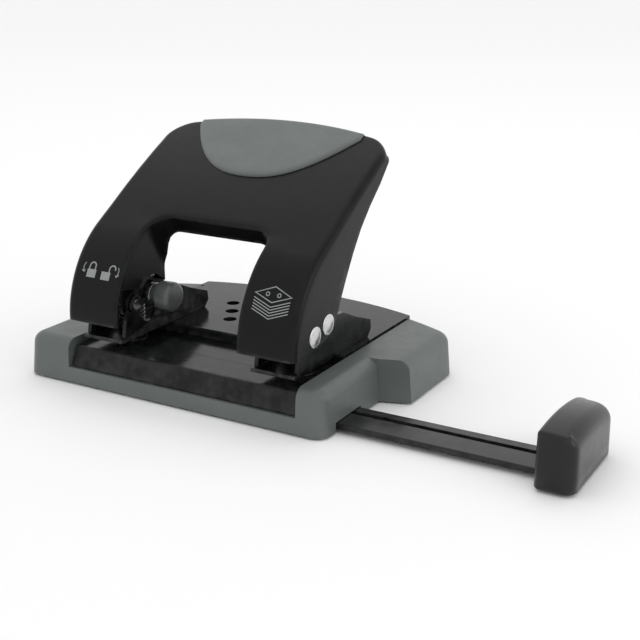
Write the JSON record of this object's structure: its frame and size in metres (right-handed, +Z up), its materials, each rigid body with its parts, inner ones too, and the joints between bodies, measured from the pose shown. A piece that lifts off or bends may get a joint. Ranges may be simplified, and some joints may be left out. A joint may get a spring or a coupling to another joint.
{
  "type": "hole punch",
  "caption": "Desk paper punch with a lever handle, spring-returned punches, a tip-up frame over a chip tray, a lock knob and a sliding paper guide.",
  "frame": {"origin": "centre of the underside of the middle foot, on the desk, midway between the two punches", "axes": "+X to the right along the paper guide, +Y to the back, away from the paper's side, +Z up"},
  "size_m": [0.2032, 0.0946, 0.0877],
  "materials": {
    "tray_plastic": "fine moulded texture, satin",
    "rubber_grey": "soft matt",
    "foot_rubber": "matt",
    "shell_black": "satin gloss",
    "ramp_black": "satin",
    "deck_black": "smooth gloss enamel",
    "bracket_black": "gloss enamel",
    "arm_black": "gloss",
    "pin_chrome": "polished",
    "steel": "ground",
    "spring_steel": "drawn wire",
    "knob_grey": "satin",
    "zinc": "zinc plated"
  },
  "bodies": {
    "base": {"chip_tray": "tray_plastic", "rubber_feet": "foot_rubber", "arm_straps": "zinc", "strap_screws": "zinc", "hinge_pin": "steel"},
    "frame": {"die_plate": "deck_black", "front_ramp": "ramp_black", "deck_cover": "deck_black", "bracket_rivets": "bracket_black", "left_bracket": "bracket_black", "right_bracket": "bracket_black", "left_die": "steel", "right_die": "steel", "left_guide_bush": "zinc", "right_guide_bush": "zinc", "left_spring": "spring_steel", "right_spring": "spring_steel"},
    "handle": {"handle_shell": "shell_black", "palm_pad": "rubber_grey", "left_lever_link": "bracket_black", "right_lever_link": "bracket_black", "left_pivot_pin": "pin_chrome", "right_pivot_pin": "pin_chrome", "left_drive_pin": "pin_chrome", "right_drive_pin": "pin_chrome", "pin_clips": "bracket_black", "link_screws": "zinc"},
    "left_punch": {"left_punch": "steel", "left_washer": "zinc"},
    "right_punch": {"right_punch": "steel", "right_washer": "zinc"},
    "lock": {"lock_sleeve": "steel", "lock_knob": "knob_grey"},
    "guide": {"guide_arm": "arm_black", "stop_block": "arm_black", "block_screw": "zinc"}
  },
  "joints": [
    {"name": "tray_open", "type": "hinge", "parent": "base", "child": "frame", "pos_m": [-0.0452, 0.01, 0.0151], "axis": [0, -1, 0], "range_deg": [0, 35]},
    {"name": "handle_press", "type": "hinge", "parent": "frame", "child": "handle", "pos_m": [0, -0.0331, 0.0293], "axis": [-1, 0, 0], "range_deg": [0, 40], "stiffness_Nm_per_rad": 0.6, "springref_deg": -25.78},
    {"name": "left_stroke", "type": "slide", "parent": "frame", "child": "left_punch", "axis": [0, 0, -1], "range_m": [0, 0.0059], "deforming": ["left_spring"]},
    {"name": "right_stroke", "type": "slide", "parent": "frame", "child": "right_punch", "axis": [0, 0, -1], "range_m": [0, 0.0059], "deforming": ["right_spring"]},
    {"name": "lock_slide", "type": "slide", "parent": "handle", "child": "lock", "axis": [-1, 0, 0], "range_m": [0, 0.0028]},
    {"name": "guide_slide", "type": "slide", "parent": "base", "child": "guide", "axis": [-1, 0, 0], "range_m": [0, 0.067]}
  ],
  "couplings": [
    {"joint": "left_stroke", "follows": "handle_press", "m_per_rad": 0.00837},
    {"joint": "right_stroke", "follows": "handle_press", "m_per_rad": 0.00837}
  ]
}
